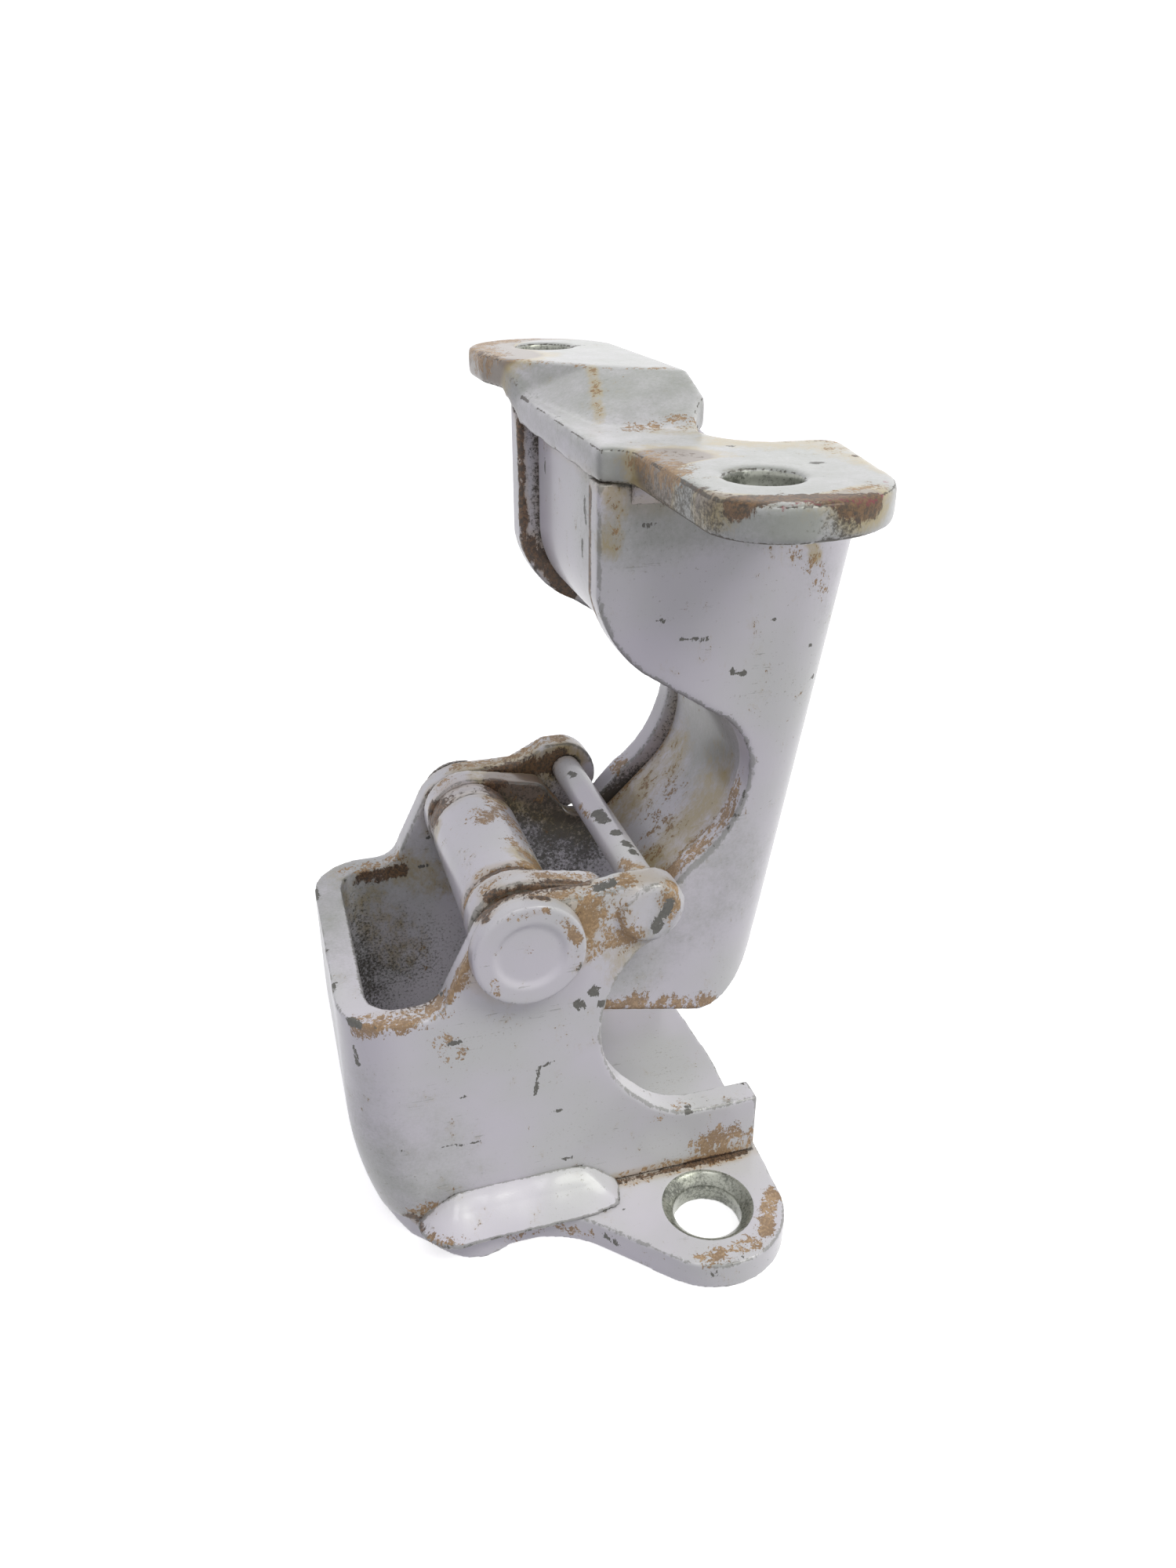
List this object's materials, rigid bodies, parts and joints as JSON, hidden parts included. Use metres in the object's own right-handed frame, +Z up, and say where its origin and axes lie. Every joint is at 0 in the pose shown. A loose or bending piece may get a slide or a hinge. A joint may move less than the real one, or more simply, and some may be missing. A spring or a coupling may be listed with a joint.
{
  "type": "door hinge",
  "caption": "Gooseneck door hinge of pressed steel: a base bracket with a pivot pin and a bent hollow arm that swings on it and ends in a joggled mounting plate.",
  "frame": {"origin": "on the underside of the base plate, straight below the pivot axis, midway between the two bracket cheeks", "axes": "+Z up from the base plate, +X from the closed web of the bracket towards its open side, Y along the pivot pin"},
  "size_m": [0.0822, 0.1028, 0.1302],
  "materials": {
    "white_paint": "glossy white body paint on steel, worn, chipped and rust-stained",
    "bare_steel": "turned steel, greased and dark"
  },
  "bodies": {
    "bracket": {"base_plate": "white_paint", "bracket_channel": "white_paint", "base_weld_near": "white_paint", "base_weld_far": "white_paint", "pivot_pin": "white_paint", "stop_pin": "white_paint"},
    "arm": {"arm_channel": "white_paint", "arm_liner": "white_paint", "arm_top_plate": "white_paint", "arm_barrel": "white_paint", "barrel_weld_near": "white_paint", "barrel_weld_far": "white_paint", "pivot_bush_near": "bare_steel", "pivot_bush_far": "bare_steel", "plate_weld_near": "white_paint", "plate_weld_far": "white_paint"}
  },
  "joints": [
    {"name": "pivot", "type": "hinge", "parent": "bracket", "child": "arm", "pos_m": [0, 0, 0.0553], "axis": [0, 1, 0], "range_deg": [-13, 86]}
  ]
}
